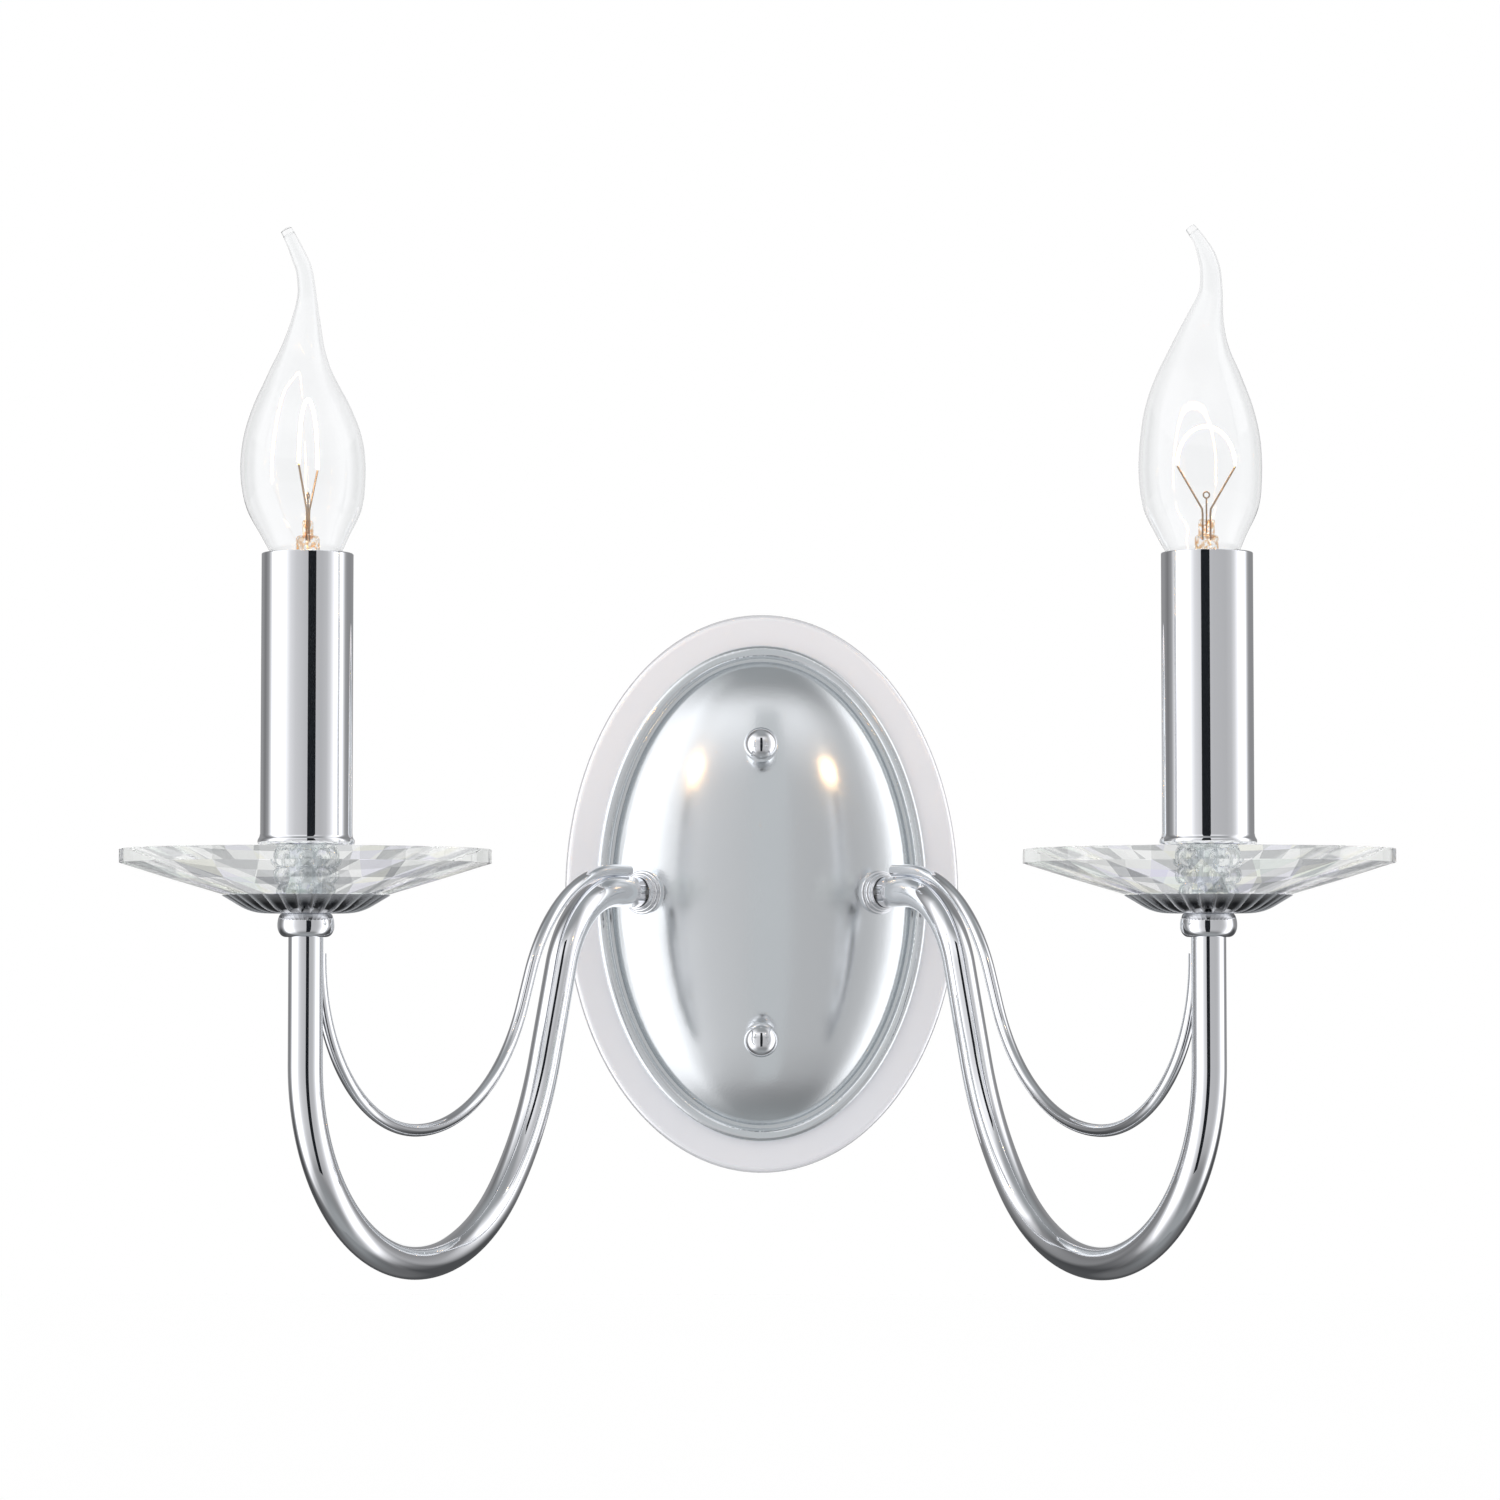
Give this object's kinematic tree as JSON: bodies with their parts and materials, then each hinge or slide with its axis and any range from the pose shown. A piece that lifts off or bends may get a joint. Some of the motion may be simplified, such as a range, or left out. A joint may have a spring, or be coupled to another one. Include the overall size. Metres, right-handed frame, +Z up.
{
  "type": "double arm wall sconce",
  "caption": "Wall sconce with an oval domed canopy, curved tube arms, fluted pans, cut crystal dishes, candle sleeves and bent-tip candle lamps.",
  "frame": {"origin": "middle of the wall bracket's screw slots, on the wall plane", "axes": "+Z up, +X to the right as seen from the room, -Y from the wall out into the room"},
  "size_m": [0.364, 0.2319, 0.3071],
  "materials": {
    "bright_chrome": "polished chrome plating",
    "satin_chrome": "chrome plating over a fine satin sheet",
    "zinc_steel": "zinc plated steel",
    "brass": "plain brass",
    "nickel_cap": "nickel plated",
    "solder": "tin solder",
    "white_plastic": "moulded, slightly glossy",
    "black_plastic": "moulded, matt",
    "lead_insulation": "smooth sleeve",
    "black_glass": "opaque black glass",
    "crystal": "cut and polished clear crystal",
    "lamp_glass": "clear blown glass",
    "lamp_wire": "drawn nickel and copper wire",
    "filament": "tungsten coil, glowing"
  },
  "bodies": {
    "fitting": {"wall_bracket": "zinc_steel", "canopy_screws": "zinc_steel", "lock_nuts": "zinc_steel", "terminal_screws": "zinc_steel", "earth_screw": "brass", "terminal_clamps": "brass", "terminal_block": "white_plastic", "back_plate": "bright_chrome", "canopy_dome": "satin_chrome", "left_arm_tube": "bright_chrome", "left_accent_rod": "bright_chrome", "left_arm_collar": "bright_chrome", "left_knuckle": "bright_chrome", "left_fluted_pan": "bright_chrome", "left_sleeve_seat": "bright_chrome", "left_candle_sleeve": "bright_chrome", "left_arm_washer": "zinc_steel", "left_arm_nut": "zinc_steel", "left_stack_nut": "zinc_steel", "left_arm_leads": "lead_insulation", "left_crystal_dish": "crystal", "left_crystal_spool": "crystal", "left_holder_body": "black_plastic", "left_holder_shell": "brass", "left_holder_contact": "brass", "right_arm_tube": "bright_chrome", "right_accent_rod": "bright_chrome", "right_arm_collar": "bright_chrome", "right_knuckle": "bright_chrome", "right_fluted_pan": "bright_chrome", "right_sleeve_seat": "bright_chrome", "right_candle_sleeve": "bright_chrome", "right_arm_washer": "zinc_steel", "right_arm_nut": "zinc_steel", "right_stack_nut": "zinc_steel", "right_arm_leads": "lead_insulation", "right_crystal_dish": "crystal", "right_crystal_spool": "crystal", "right_holder_body": "black_plastic", "right_holder_shell": "brass", "right_holder_contact": "brass"},
    "left_lamp_base": {"left_lamp_cap": "nickel_cap", "left_cap_insulator": "black_glass", "left_cap_contact": "solder"},
    "left_lamp_bulb": {"left_lamp_glass": "lamp_glass", "left_lamp_stem": "lamp_glass", "left_lamp_wires": "lamp_wire", "left_lamp_filament": "filament"},
    "right_lamp_base": {"right_lamp_cap": "nickel_cap", "right_cap_insulator": "black_glass", "right_cap_contact": "solder"},
    "right_lamp_bulb": {"right_lamp_glass": "lamp_glass", "right_lamp_stem": "lamp_glass", "right_lamp_wires": "lamp_wire", "right_lamp_filament": "filament"},
    "top_nut": {"top_ball_nut": "bright_chrome"},
    "bottom_nut": {"bottom_ball_nut": "bright_chrome"}
  },
  "joints": [
    {"name": "left_lamp_rise", "type": "slide", "parent": "fitting", "child": "left_lamp_base", "axis": [0, 0, 1], "range_m": [0, 0.00988]},
    {"name": "left_lamp_turn", "type": "hinge", "parent": "left_lamp_base", "child": "left_lamp_bulb", "pos_m": [-0.12922, -0.1792, 0.08], "axis": [0, 0, 1], "range_deg": [0, 1260]},
    {"name": "right_lamp_rise", "type": "slide", "parent": "fitting", "child": "right_lamp_base", "axis": [0, 0, 1], "range_m": [0, 0.00988]},
    {"name": "right_lamp_turn", "type": "hinge", "parent": "right_lamp_base", "child": "right_lamp_bulb", "pos_m": [0.12922, -0.1792, 0.08], "axis": [0, 0, 1], "range_deg": [0, 1260]},
    {"name": "top_nut_off", "type": "slide", "parent": "fitting", "child": "top_nut", "axis": [0, -1, 0], "range_m": [0, 0.007]},
    {"name": "bottom_nut_off", "type": "slide", "parent": "fitting", "child": "bottom_nut", "axis": [0, -1, 0], "range_m": [0, 0.007]}
  ],
  "couplings": [
    {"joint": "left_lamp_rise", "follows": "left_lamp_turn", "m_per_rad": 0.00044882},
    {"joint": "right_lamp_rise", "follows": "right_lamp_turn", "m_per_rad": 0.00044882}
  ]
}
